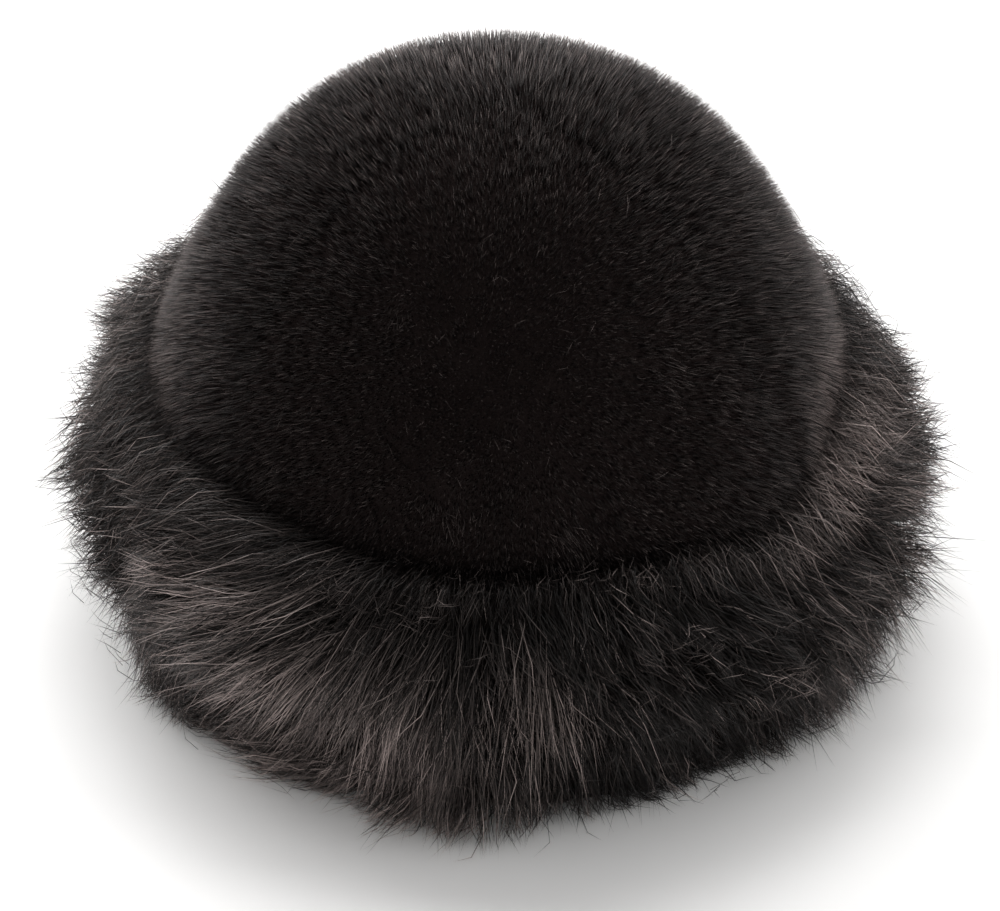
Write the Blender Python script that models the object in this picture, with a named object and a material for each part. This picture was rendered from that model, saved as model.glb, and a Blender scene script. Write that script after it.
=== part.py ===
"""Fur hat: a domed crown of four short-pile gores over a deep band of long straight hair.

The hat stands on Z = 0 with its front facing -Y. All sizes are in metres, and turns round the
hat are in degrees from the front, growing towards +X.
"""

import functools
import math
from collections import namedtuple

import bmesh
import bpy
import numpy as np
from mathutils import Vector

# Driving dimensions
HEAD_WIDTH = 0.181  # opening, side to side
HEAD_DEPTH = 0.193  # opening, front to back
BAND_WALL = 0.003  # pelt that grips the head
BAND_HEIGHT = 0.069  # from the surface to the seam, at the sides
CROWN_SETBACK = 0.0015  # from the band's inner face out to the crown's
CROWN_WALL = 0.010  # pelt and its short pile
CROWN_HEIGHT = 0.096  # from the seam at the sides to the top
HAIR_REACH = 0.021  # from the crown's lower edge out to the form of the long hair
PIECE_GAP = 0.0003  # between pieces
FLOOR_GAP = 0.001  # between the surface and the lowest hair

# Seam between the crown and the band
SEAM_RISE = 0.005  # higher at the front and the back than at the sides
SEAM_DIP = 0.010  # lower where the right front gore seam ends
DIP_TURN = 51.0
DIP_SPREAD = 17.0

# Crown
DOME_SHOULDER = 3.0  # power of the reach: more makes fuller shoulders
DOME_RISE = 0.87  # power of the height: less makes a straighter side
DOME_FOOT = 1.08  # reach share at which the drawn side ends, below the seam
DOME_SAMPLES = 400
COLUMNS = 64  # faces round every piece, so that neighbours bend at the same places
GORE_COLUMNS = 20  # in the front and the back gore
CROWN_ROWS = 11
CREASE = 0.0018  # how far the pile sinks along a gore seam
CREASE_FADE = 3.0  # the crease fades out over the last third below the top

# Long hair
LOCK_ROOT_HEIGHT = 0.0  # lowest border of the locks, as shares of the seam's height and of the reach
LOCK_ROOT_REACH = 0.14
LOCK_WAIST = 0.58  # width of a lock at its bend, as a share of its root
LOCK_BEND = 0.48  # place of the bend along the lock
LOCK_ARCH = 0.03  # how far the bend stands above the straight line, as a share of the height
LOCK_JITTER = 0.12  # how unevenly the roots are set, as a share of their spacing
LENGTH_JITTER = 0.16
DROOP_JITTER = 0.03  # how unevenly the tips hang, as a share of the seam's height
PARTING_SWEEP = 5.0  # turn by which the tips lean away from the parting at the front
HAIR_SEED = 11
DRAWN_RADIUS = 2.0  # of the crown's edge on the cylinder where the locks are first drawn

LockRow = namedtuple("LockRow", "height reach tip_height tip_reach")
Swell = namedtuple("Swell", "turn spread reach")

# Each row of locks: its upper border and its tips, as shares of the seam's height and of the reach
LOCK_ROWS = (
    LockRow(height=0.13, reach=0.24, tip_height=0.020, tip_reach=0.76),
    LockRow(height=0.26, reach=0.30, tip_height=0.085, tip_reach=0.92),
    LockRow(height=0.39, reach=0.33, tip_height=0.195, tip_reach=1.04),
    LockRow(height=0.52, reach=0.34, tip_height=0.335, tip_reach=1.12),
    LockRow(height=0.65, reach=0.33, tip_height=0.495, tip_reach=1.15),
    LockRow(height=0.78, reach=0.28, tip_height=0.670, tip_reach=1.11),
    LockRow(height=0.90, reach=0.19, tip_height=0.850, tip_reach=0.97),
    LockRow(height=1.00, reach=0.05, tip_height=1.030, tip_reach=0.66),
)

# Where the long hair stands further out, as shares of its reach
SWELLS = (
    Swell(turn=51.0, spread=35.0, reach=0.17),
    Swell(turn=-128.0, spread=35.0, reach=0.17),
)

HAIR_INNER = BAND_WALL + PIECE_GAP
HALF_WIDTH = HEAD_WIDTH / 2 + CROWN_SETBACK + CROWN_WALL
HALF_DEPTH = HEAD_DEPTH / 2 + CROWN_SETBACK + CROWN_WALL
HALF_MEAN = (HALF_WIDTH + HALF_DEPTH) / 2
COLUMN_TURN = 360.0 / COLUMNS


def clear_scene():
    for item in list(bpy.data.objects):
        bpy.data.objects.remove(item, do_unlink=True)


def fur_material(name, colour, roughness):
    material = bpy.data.materials.new(name)
    material.use_nodes = True
    shader = material.node_tree.nodes["Principled BSDF"]
    shader.inputs["Base Color"].default_value = (*colour, 1.0)
    shader.inputs["Roughness"].default_value = roughness
    shader.inputs["Metallic"].default_value = 0.0
    return material


def add_piece(name, solid, material, sharp_angle):
    """Closes a bmesh into a named object with its faces pointing out."""
    bmesh.ops.recalc_face_normals(solid, faces=solid.faces[:])
    mesh = bpy.data.meshes.new(name)
    solid.to_mesh(mesh)
    solid.free()
    mesh.materials.append(material)
    mesh.shade_smooth()
    mesh.set_sharp_from_angle(angle=math.radians(sharp_angle))
    piece = bpy.data.objects.new(name, mesh)
    bpy.context.scene.collection.objects.link(piece)
    return piece


def bump(turn, centre, spread):
    """1 at the centre of a swelling or a dip, and falling off on both sides of it."""
    away = (turn - centre + 180.0) % 360.0 - 180.0
    return math.exp(-((away / spread) ** 2))


def seam_height(turn):
    rise = SEAM_RISE * math.cos(math.radians(turn)) ** 2
    return BAND_HEIGHT + rise - SEAM_DIP * bump(turn, DIP_TURN, DIP_SPREAD)


def on_oval(turn, half_width, half_depth, height):
    angle = math.radians(turn)
    return Vector((half_width * math.sin(angle), -half_depth * math.cos(angle), height))


@functools.cache
def dome_side(depth):
    """Reach share, inset and height of the dome's side from foot to top, this deep under its face."""
    reach = np.linspace(DOME_FOOT, 0.0, DOME_SAMPLES)
    fall = 1.0 - reach**DOME_SHOULDER
    rise = CROWN_HEIGHT * np.sign(fall) * np.abs(fall) ** DOME_RISE
    inward = np.gradient(reach * HALF_MEAN)
    upward = np.gradient(rise)
    length = np.hypot(inward, upward)
    inset = depth * upward / length
    height = BAND_HEIGHT + rise + depth * inward / length
    steps = np.hypot(np.diff(reach * HALF_MEAN - inset), np.diff(height))
    run = np.concatenate([[0.0], np.cumsum(steps)])
    return reach, inset, height, run


def dome_point(turn, share, depth):
    """The point at a share of the way from the seam to the top."""
    reach, inset, height, run = dome_side(depth)
    start = np.interp(seam_height(turn), height, run)
    place = start + share * (run[-1] - start)
    width_share = np.interp(place, run, reach)
    inward = np.interp(place, run, inset)
    return on_oval(
        turn,
        width_share * HALF_WIDTH - inward,
        width_share * HALF_DEPTH - inward,
        np.interp(place, run, height),
    )


def add_gore(name, first_column, last_column, material):
    """A slab of shares across, up and inward, bent into one panel of the dome."""
    slab = bmesh.new()
    columns = last_column - first_column
    bmesh.ops.create_grid(slab, x_segments=columns, y_segments=CROWN_ROWS, size=0.5)
    copied = bmesh.ops.extrude_face_region(slab, geom=slab.faces[:])["geom"]
    inner = [item for item in copied if isinstance(item, bmesh.types.BMVert)]
    bmesh.ops.translate(slab, verts=inner, vec=(0.0, 0.0, 1.0))
    half_turn = columns * COLUMN_TURN / 2
    middle = (first_column + last_column) / 2 * COLUMN_TURN
    shift = on_oval(middle, 1.0, 1.0, 0.0) * PIECE_GAP / 2 / math.sin(math.radians(half_turn))
    for vert in slab.verts:
        across, up, inward = vert.co.x * 2, vert.co.y + 0.5, vert.co.z
        at_seam = abs(across) > 1.0 - 1e-6 and inward < 0.5
        crease = CREASE * min(1.0, CREASE_FADE * (1.0 - up)) if at_seam else 0.0
        depth = round(crease + inward * CROWN_WALL, 7)
        vert.co = dome_point(middle + across * half_turn, up, depth) + shift
    bmesh.ops.remove_doubles(slab, verts=slab.verts[:], dist=1e-6)
    return add_piece(name, slab, material, 50.0)


def spin_row(solid, points, closed):
    """Turns a row of points, given as radius and height, once round the axis."""
    verts = [solid.verts.new((0.0, -radius, height)) for radius, height in points]
    ends = verts[1:] + verts[:1] if closed else verts[1:]
    edges = [solid.edges.new(pair) for pair in zip(verts, ends)]
    bmesh.ops.spin(
        solid,
        geom=verts + edges,
        axis=(0.0, 0.0, 1.0),
        angle=2 * math.pi,
        steps=COLUMNS,
        use_merge=True,
    )


def turn_of(place):
    return math.degrees(math.atan2(place.x, -place.y))


def rim_at(solid, height):
    """The open edges at a height."""
    return [
        edge
        for edge in solid.edges
        if edge.is_boundary and abs(edge.verts[0].co.z - height) < 1e-6
    ]


def extrude_rim(solid, rim, radius, height):
    """Draws an open rim out to a circle of this radius and height, and returns its new rim."""
    drawn = bmesh.ops.extrude_edge_only(solid, edges=rim)["geom"]
    for item in drawn:
        if isinstance(item, bmesh.types.BMVert):
            item.co = on_oval(turn_of(item.co), radius, radius, height)
    return [item for item in drawn if isinstance(item, bmesh.types.BMEdge) and item.is_boundary]


def add_band(material):
    """The plain wall inside the long hair, from the surface up to the crown's lower edge."""
    ring = bmesh.new()
    spin_row(ring, ((1.0, 0.0), (2.0, 0.0), (2.0, 1.0), (1.0, 1.0)), closed=True)
    for vert in ring.verts:
        turn = turn_of(vert.co)
        out = BAND_WALL * (math.hypot(vert.co.x, vert.co.y) - 1.0)
        top = seam_height(turn) - PIECE_GAP
        vert.co = on_oval(turn, HEAD_WIDTH / 2 + out, HEAD_DEPTH / 2 + out, vert.co.z * top)
    return add_piece("brim_band", ring, material, 40.0)


def hair_point(turn, out, share):
    """A point of the long hair: out is 0 at the crown's lower edge, and -1 at the band's face."""
    seam = seam_height(turn)
    reach, _, height, _ = dome_side(0.0)
    crown_share = np.interp(seam, height, reach)
    band = (HEAD_WIDTH / 2 + HAIR_INNER, HEAD_DEPTH / 2 + HAIR_INNER)
    crown = (crown_share * HALF_WIDTH, crown_share * HALF_DEPTH)
    swell = 1.0 + sum(item.reach * bump(turn, item.turn, item.spread) for item in SWELLS)
    beyond = max(out, 0.0) * HAIR_REACH * swell
    inside = max(-out, 0.0)
    halves = [edge + (face - edge) * inside + beyond for face, edge in zip(band, crown)]
    top = seam - PIECE_GAP
    return on_oval(turn, *halves, FLOOR_GAP + share * (top - FLOOR_GAP))


def on_cylinder(turn, out, share):
    """The same shares on a plain cylinder, where the locks are first drawn."""
    radius = DRAWN_RADIUS + out
    return on_oval(turn, radius, radius, share)


def out_of(place):
    """How far out a place on that cylinder is."""
    return math.hypot(place.x, place.y) - DRAWN_RADIUS


def stagger_roots(solid, heights, random):
    """Slants the grid of roots by half a column a row, and sets its inner points unevenly."""
    rows = len(heights) - 1
    for vert in solid.verts:
        out = out_of(vert.co)
        share = vert.co.z
        row = int(np.argmin(np.abs(heights - share)))
        slant = row / 2 if row < rows else rows // 2
        turn = turn_of(vert.co) + COLUMN_TURN * slant
        if 0 < row < rows:
            turn += COLUMN_TURN * LOCK_JITTER * random.uniform(-1.0, 1.0)
            share += LOCK_JITTER * random.uniform(-1.0, 1.0) / rows
        vert.co = on_cylinder(turn, out, share)


def grow_lock(solid, face, row, random):
    """Draws one root face out into a bent lock that ends in a point."""
    root = face.calc_center_median()
    turn = turn_of(root)
    sweep = math.copysign(PARTING_SWEEP, turn) * math.cos(math.radians(turn) / 2) ** 2
    length = 1.0 + LENGTH_JITTER * random.uniform(-1.0, 1.0)
    root_out = out_of(root)
    tip_out = root_out + (row.tip_reach - root_out) * length
    tip_turn = turn + sweep + COLUMN_TURN * LOCK_JITTER * random.uniform(-1.0, 1.0)
    tip_height = max(0.0, row.tip_height + DROOP_JITTER * random.uniform(-1.0, 1.0))
    bend = on_cylinder(
        turn + (tip_turn - turn) * LOCK_BEND**2,
        root_out + (tip_out - root_out) * LOCK_BEND,
        root.z + (tip_height - root.z) * LOCK_BEND + LOCK_ARCH,
    )
    for vert in face.verts:
        vert.co = bend + (vert.co - root) * LOCK_WAIST
    tip = bmesh.ops.poke(solid, faces=[face])["verts"][0]
    tip.co = on_cylinder(tip_turn, tip_out, tip_height)


def add_long_hair(material):
    """A backing round the band, with its whole outer face drawn out into locks of hair."""
    random = np.random.default_rng(HAIR_SEED)
    hair = bmesh.new()
    borders = [(LOCK_ROOT_REACH, LOCK_ROOT_HEIGHT)] + [(row.reach, row.height) for row in LOCK_ROWS]
    heights = np.array([height for _, height in borders])
    spin_row(hair, [(DRAWN_RADIUS + reach, height) for reach, height in borders], closed=False)
    stagger_roots(hair, heights, random)
    roots = hair.faces[:]
    extrude_rim(hair, rim_at(hair, heights[0]), DRAWN_RADIUS - 1.0, heights[0])
    inner = extrude_rim(hair, rim_at(hair, heights[-1]), DRAWN_RADIUS - 1.0, heights[-1])
    extrude_rim(hair, inner, DRAWN_RADIUS - 1.0, heights[0])
    bmesh.ops.remove_doubles(hair, verts=hair.verts[:], dist=1e-4)
    bmesh.ops.recalc_face_normals(hair, faces=hair.faces[:])
    drawn = bmesh.ops.extrude_discrete_faces(hair, faces=roots)["faces"]
    for face in drawn:
        share = face.calc_center_median().z
        row = LOCK_ROWS[int(np.clip(np.searchsorted(heights, share) - 1, 0, len(LOCK_ROWS) - 1))]
        grow_lock(hair, face, row, random)
    for vert in hair.verts:
        vert.co = hair_point(turn_of(vert.co), out_of(vert.co), vert.co.z)
    return add_piece("brim_fur", hair, material, 35.0)


clear_scene()
crown_fur = fur_material("crown_short_pile", (0.012, 0.011, 0.011), 0.65)
side_columns = COLUMNS // 2 - GORE_COLUMNS
right_seam = GORE_COLUMNS // 2
back_seam = right_seam + side_columns
add_gore("crown_front", -right_seam, right_seam, crown_fur)
add_gore("crown_right", right_seam, back_seam, crown_fur.copy())
add_gore("crown_back", back_seam, back_seam + GORE_COLUMNS, crown_fur.copy())
add_gore("crown_left", -back_seam, -right_seam, crown_fur.copy())
add_band(fur_material("band_pelt", (0.020, 0.018, 0.017), 0.85))
add_long_hair(fur_material("brim_long_hair", (0.014, 0.013, 0.012), 0.55))
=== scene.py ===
import math

import bmesh
import bpy
import numpy as np
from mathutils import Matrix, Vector
from mathutils.kdtree import KDTree


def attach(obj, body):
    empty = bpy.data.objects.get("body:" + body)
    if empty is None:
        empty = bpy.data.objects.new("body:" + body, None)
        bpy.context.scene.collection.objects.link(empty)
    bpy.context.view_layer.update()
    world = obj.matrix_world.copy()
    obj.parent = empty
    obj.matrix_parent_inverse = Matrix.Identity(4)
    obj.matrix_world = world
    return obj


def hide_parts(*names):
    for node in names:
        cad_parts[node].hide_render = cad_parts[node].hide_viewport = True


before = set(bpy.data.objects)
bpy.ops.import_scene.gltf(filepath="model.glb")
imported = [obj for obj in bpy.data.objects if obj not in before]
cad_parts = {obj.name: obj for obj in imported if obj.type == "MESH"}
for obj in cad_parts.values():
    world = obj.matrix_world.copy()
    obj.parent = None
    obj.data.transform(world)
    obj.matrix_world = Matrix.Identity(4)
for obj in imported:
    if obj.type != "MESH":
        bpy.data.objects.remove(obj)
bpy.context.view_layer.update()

# Head band: the strip of fur cloth that grips the head, knitted side inwards.
# It is 3 mm thick, sewn end to end into an oval ring, and carries the crown and the long hair.
# Its long edges are turned over, so they are rounded.

BAND_HALF_DEPTH = 0.0965  # half of the opening, front to back
BAND_FOLD = 0.0011  # radius of the turned edges
BAND_EDGE_ANGLE = 1.0  # radians between two faces of the strip, past which their edge is turned over
SAME_POINT = 1e-6  # corners of the CAD's loose triangles that meet are within this
WALE = 0.0016  # from one column of stitches to the next; the real 0.8 mm would not show
COURSE = 0.0012  # from one row of stitches to the next
STITCH_DEPTH = 0.0004


def linear(hex_colour):
    """An sRGB hex colour as the linear colour that a shader takes."""
    shares = [int(hex_colour[start : start + 2], 16) / 255 for start in (1, 3, 5)]
    lit = [share / 12.92 if share <= 0.04045 else ((share + 0.055) / 1.055) ** 2.4 for share in shares]
    return (*lit, 1.0)


def add_node(material, kind, inputs, **settings):
    """Adds a node with its settings, and sets or links each of its inputs."""
    node = material.node_tree.nodes.new(kind)
    for name, value in settings.items():
        setattr(node, name, value)
    for name, value in inputs.items():
        if isinstance(value, bpy.types.NodeSocket):
            material.node_tree.links.new(value, node.inputs[name])
        else:
            node.inputs[name].default_value = value
    return node


def start_material(name):
    material = bpy.data.materials.new(name)
    material.use_nodes = True
    return material, material.node_tree.nodes["Principled BSDF"]


# Knitted polyester backing of the fur cloth, dyed black: matt, with small columns of stitches whose ridges
# catch a little light; the ridges are also painted lighter, as a painted highlight.
knit_backing, knit_shader = start_material("knitted_polyester_backing")
knit_place = add_node(knit_backing, "ShaderNodeTexCoord", {}).outputs["Object"]
knit_axes = add_node(knit_backing, "ShaderNodeSeparateXYZ", {"Vector": knit_place})
knit_front = add_node(
    knit_backing,
    "ShaderNodeMath",
    {0: knit_axes.outputs["Y"], 1: -1.0},
    operation="MULTIPLY",
)
knit_turn = add_node(
    knit_backing,
    "ShaderNodeMath",
    {0: knit_axes.outputs["X"], 1: knit_front.outputs[0]},
    operation="ARCTAN2",
)
wale_wave = add_node(
    knit_backing,
    "ShaderNodeMath",
    {0: knit_turn.outputs[0], 1: round(2 * math.pi * BAND_HALF_DEPTH / WALE)},
    operation="MULTIPLY",
)
wale_ridge = add_node(knit_backing, "ShaderNodeMath", {0: wale_wave.outputs[0]}, operation="COSINE")
wale_edge = add_node(knit_backing, "ShaderNodeMath", {0: wale_ridge.outputs[0]}, operation="ABSOLUTE")
course_wave = add_node(
    knit_backing,
    "ShaderNodeMath",
    {0: knit_axes.outputs["Z"], 1: 2 * math.pi / COURSE, 2: wale_edge.outputs[0]},
    operation="MULTIPLY_ADD",
)
course_ridge = add_node(knit_backing, "ShaderNodeMath", {0: course_wave.outputs[0]}, operation="SINE")
stitch_height = add_node(
    knit_backing,
    "ShaderNodeMath",
    {0: wale_edge.outputs[0], 1: course_ridge.outputs[0]},
    operation="ADD",
)
stitch_share = add_node(
    knit_backing,
    "ShaderNodeMapRange",
    {"Value": stitch_height.outputs[0], "From Min": -1.0, "From Max": 2.0},
)
# Painted highlight: the colour goes from the black of the hollows to a lighter grey on the stitch ridges
knit_colour_and_ridge_highlight = add_node(
    knit_backing,
    "ShaderNodeMix",
    {"Factor": stitch_share.outputs[0], 6: linear("#0d0c0c"), 7: linear("#2a2827")},
    data_type="RGBA",
)
knit_bump = add_node(
    knit_backing,
    "ShaderNodeBump",
    {"Height": stitch_share.outputs[0], "Distance": STITCH_DEPTH, "Strength": 1.0},
)
knit_backing.node_tree.links.new(knit_colour_and_ridge_highlight.outputs[2], knit_shader.inputs["Base Color"])
knit_backing.node_tree.links.new(knit_bump.outputs[0], knit_shader.inputs["Normal"])
knit_shader.inputs["Roughness"].default_value = 0.85
knit_shader.inputs["IOR"].default_value = 1.5


def merged_copy(node_name):
    """A CAD node's mesh with its loose triangles joined."""
    copied = bmesh.new()
    copied.from_mesh(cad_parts[node_name].data)
    bmesh.ops.remove_doubles(copied, verts=copied.verts[:], dist=SAME_POINT)
    return copied


def place_piece(name, mesh, slot, *nodes):
    """Puts a finished mesh in the scene on the hat's one body, for the CAD nodes that it stands for."""
    piece = bpy.data.objects.new(name, mesh)
    bpy.context.scene.collection.objects.link(piece)
    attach(piece, "root")
    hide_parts(*nodes)
    return piece


def mesh_of(name, solid, *materials):
    mesh = bpy.data.meshes.new(name)
    solid.to_mesh(mesh)
    solid.free()
    for material in materials:
        mesh.materials.append(material)
    mesh.shade_smooth()
    return mesh


band = merged_copy("brim_band")
band_edges = [
    edge
    for edge in band.edges
    if len(edge.link_faces) == 2 and edge.calc_face_angle() > BAND_EDGE_ANGLE
]
bmesh.ops.bevel(
    band,
    geom=band_edges,
    offset=BAND_FOLD,
    segments=3,
    profile=0.5,
    affect="EDGES",
    material=-1,
)
head_band = place_piece("head_band", mesh_of("head_band", band, knit_backing), "band_pelt", "brim_band")

# Crown pelts: four gores of short-pile fur cloth, sewn edge to edge into a dome.
# Each is the knitted backing with a dense black underfur on its outer side, 6.4 mm in all.
# The pile that makes the crown's outer form stands on them.

PILE_DEPTH = 0.0036  # from the crown's outer form down to the underfur
SEAM_TURNS = (-123.75, -56.25, 56.25, 123.75)  # where the gores meet, in degrees from the front
GORE_GAP = 0.0006
EVEN_REACH = 0.014  # how far round a point the dome's direction is evened out
UNDERFUR_CURL = 0.0011  # size of a matted wisp; the real 0.3 mm would not show
CURL_DEPTH = 0.0008  # how deep such a wisp is
DOME_MIDDLE = Vector((0.0, 0.0, 0.05))
OUTER_SIDE = 0.5  # cosine past which a face looks away from that middle
PELT_EDGE_ANGLE = math.radians(50.0)  # the cut edges of a gore stay sharp


def underfur_material(name, dark, light):
    """Short woolly modacrylic fibre, matted. It swallows light and has no shine, only a faint unevenness."""
    material, shader = start_material(name)
    place = add_node(material, "ShaderNodeTexCoord", {}).outputs["Object"]
    wisp = add_node(
        material,
        "ShaderNodeTexNoise",
        {"Vector": place, "Scale": 1 / UNDERFUR_CURL, "Detail": 2.0, "Roughness": 0.6},
    )
    colour = add_node(
        material,
        "ShaderNodeMix",
        {"Factor": wisp.outputs[0], 6: linear(dark), 7: linear(light)},
        data_type="RGBA",
    )
    bump = add_node(
        material,
        "ShaderNodeBump",
        {"Height": wisp.outputs[0], "Distance": CURL_DEPTH, "Strength": 1.0},
    )
    material.node_tree.links.new(colour.outputs[2], shader.inputs["Base Color"])
    material.node_tree.links.new(bump.outputs[0], shader.inputs["Normal"])
    shader.inputs["Roughness"].default_value = 1.0
    shader.inputs["Specular IOR Level"].default_value = 0.0
    return material


# On the crown it shows between the pile's tips, as the near black that they stand out from.
crown_underfur = underfur_material("matted_modacrylic_underfur", "#151111", "#282120")


def faces_out(face):
    """Whether a face of the crown is on its outer side."""
    outward = face.calc_center_median() - DOME_MIDDLE
    return face.normal.dot(outward.normalized()) > OUTER_SIDE


def turn_round(x, y):
    """Degrees round the hat from its front."""
    return np.degrees(np.arctan2(x, -y))


gore_names = ("crown_front", "crown_right", "crown_back", "crown_left")
dome = bmesh.new()
for gore_name in gore_names:
    dome.from_mesh(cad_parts[gore_name].data)
bmesh.ops.remove_doubles(dome, verts=dome.verts[:], dist=SAME_POINT)
dome.normal_update()
bmesh.ops.delete(dome, geom=[face for face in dome.faces if not faces_out(face)], context="FACES")
bmesh.ops.remove_doubles(dome, verts=dome.verts[:], dist=GORE_GAP)
dome.normal_update()
dome_corners = np.array([[vert.co for vert in face.verts] for face in dome.faces])
dome_normals = np.array([[vert.normal for vert in face.verts] for face in dome.faces])
dome_tree = KDTree(len(dome.verts))
for vert in dome.verts:
    dome_tree.insert(vert.co, vert.index)
dome_tree.balance()
dome.verts.ensure_lookup_table()
# The dome's directions evened out over its seams, for pile that is brushed across them
even = {}
for vert in dome.verts:
    near = [dome.verts[index].normal for _, index, _ in dome_tree.find_range(vert.co, EVEN_REACH)]
    even[vert.index] = sum(near, Vector()).normalized()
dome_evened = np.array([[even[vert.index] for vert in face.verts] for face in dome.faces])
dome_middles = dome_corners.mean(axis=1)
dome_gores = np.searchsorted(SEAM_TURNS, turn_round(dome_middles[:, 0], dome_middles[:, 1]))

for gore_name in gore_names:
    gore = merged_copy(gore_name)
    gore.normal_update()
    outer = {face for face in gore.faces if faces_out(face)}
    for face in gore.faces:
        face.material_index = 0 if face in outer else 1
    for vert in {vert for face in outer for vert in face.verts}:
        _, nearest, _ = dome_tree.find(vert.co)
        vert.co -= dome.verts[nearest].normal * PILE_DEPTH
    mesh = mesh_of(gore_name + "_pelt", gore, crown_underfur, knit_backing)
    mesh.set_sharp_from_angle(angle=PELT_EDGE_ANGLE)
    place_piece(gore_name + "_pelt", mesh, "crown_fur", gore_name)
dome.free()

# Crown pile: short modacrylic fur, sheared to one length, standing on the gores.
# Real pile has tens of fine hairs to a square millimetre; here one thicker strand stands for many.
# It leans a little down, is ruffled in patches, and parts along the right front seam, most at its foot.

PILE_RADIUS = 0.00011  # of a strand at its root; a real hair is 0.02 mm, too fine to show
PILE_COUNTS = {"crown_front": 28500, "crown_right": 18000, "crown_back": 23000, "crown_left": 18000}
BACK_COARSER = 1.15  # the back gore's strands are fewer, and each stands for more hairs
PILE_RISE = 0.0018  # how far the tips stand past the crown's outer form
SHEAR_SPREAD = 0.0005  # how unevenly the pile is sheared
SEAM_CREASE = 0.0018  # how deep the crown's outer form sinks along a seam
CREASE_REACH = 0.0115  # how far from a seam it starts to sink
LOW_PILE = 0.022  # at the sides the pile grows longer over this height above the brim
LOW_LONGER = 0.0024  # by so much
RIGHT_LONGER = 0.0012  # how much longer the pile is in the middle of the right side
FRONT_NAP = 0.06  # how much the pile leans down at the front, as a slope
SIDE_NAP = 0.34  # the same at the sides and the back
FRONT_SPREAD = 62.0  # degrees from the front over which the one goes over into the other
LEAN_SPREAD = 0.10  # how unevenly single strands lean, down and round the crown
RUFFLES = ((0.05, 0.07), (0.012, 0.05))  # patches of pile that lean together: size, slope
# How much the pile of each gore leans round the crown, as a slope: both sides lean to the back
SIDE_LEAN = {"crown_front": 0.0, "crown_right": 0.30, "crown_back": 0.0, "crown_left": -0.20}
SWIRL_HEIGHT = 0.075  # above the brim, where that lean ends
# Where the pile is brushed down and painted lighter, as a painted sheen: turn, spread, height above the
# brim, its reach, amount
BRUSHED_AND_SHEEN_SIDES = ((72.0, 14.0, 0.012, 0.018, 1.6), (-76.0, 20.0, 0.018, 0.026, 0.7))
SEAM_SHOWS = (0.05, 0.1, 0.8, 0.05)  # how much each seam parts the pile, in the order of SEAM_TURNS
SEAM_SHOW_HEIGHT = 0.055  # the parting closes over this height above the brim
PARTING_HALF_WIDTH = 0.003
PARTING_DROP = 0.0032  # how much lower the pile is in the parting
TOP_RADIUS = 0.05  # round the crown's top, where the parting runs out
# Rubbed spots, where the pile lies down and is painted lighter, as a painted sheen: turn, height, radius
RUBBED_AND_SHEEN_SPOTS = ((-21.5, 0.137, 0.0045), (-7.7, 0.092, 0.0060), (10.7, 0.086, 0.0065), (33.0, 0.120, 0.0050))
RUBBED_LEAN = (0.9, 0.6)  # how far it lies over there, down and round the crown
STRAY_SHARE = 0.03  # strands that the shears missed
STRAY_LONGER = (0.0003, 0.002)
# Specks are painted light, as painted glints
SPECK_SHARE = 0.004  # loose strands that lie over the pile and shine
SPECK_LEAN = (1.2, 0.8)  # how unevenly they lie down, and how far round the crown
SPECK_LONGER = 0.002
PILE_ROOT = 0.0006  # how far the strands start inside the pelt
TONE_ROWS = 48  # shades of strand, each a row of the strands' map
# The few light strands are painted light, as painted glints
TONE_POWER = 3.0  # most strands are near their dark shade, and a few shine
MIDDLE_TONE = 0.42
ROW_MARGIN = 0.05  # share of a row left free on each side
TIP_SIZE = 1e-4  # corners of the plain strand nearer to its axis than this are its tip
MAP_TURNS = 1.4  # how far round the strand its map can run, because the last side goes on past a turn
FUR_MAP = "OFBake"
random = np.random.default_rng(7)


def fibre_material(name, root, dark, light, lift_start, lift_power, gloss, shine):
    """Dyed modacrylic fibre from its dark to its light shade by tone row, painted black at the root as
    painted shade deep in the fur, and painted lighter towards the tip as painted sheen.
    """
    material, shader = start_material(name)
    place = add_node(material, "ShaderNodeUVMap", {}, uv_map=FUR_MAP).outputs[0]
    shares = add_node(material, "ShaderNodeSeparateXYZ", {"Vector": place})
    tone = add_node(material, "ShaderNodeMath", {0: shares.outputs["Y"], 1: TONE_POWER}, operation="POWER")
    shade = add_node(
        material,
        "ShaderNodeMix",
        {"Factor": tone.outputs[0], 6: linear(dark), 7: linear(light)},
        data_type="RGBA",
    )
    # Painted shade and sheen: from lift_start on, the strand is painted lighter, from its black root up to
    # its shade
    rise = add_node(
        material,
        "ShaderNodeMapRange",
        {"Value": shares.outputs["X"], "From Min": lift_start, "From Max": 1.0},
    )
    painted_tip_light = add_node(material, "ShaderNodeMath", {0: rise.outputs[0], 1: lift_power}, operation="POWER")
    colour = add_node(
        material,
        "ShaderNodeMix",
        {"Factor": painted_tip_light.outputs[0], 6: linear(root), 7: shade.outputs[2]},
        data_type="RGBA",
    )
    material.node_tree.links.new(colour.outputs[2], shader.inputs["Base Color"])
    shader.inputs["Roughness"].default_value = gloss
    shader.inputs["IOR"].default_value = 1.5
    shader.inputs["Specular IOR Level"].default_value = shine
    return material


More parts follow.
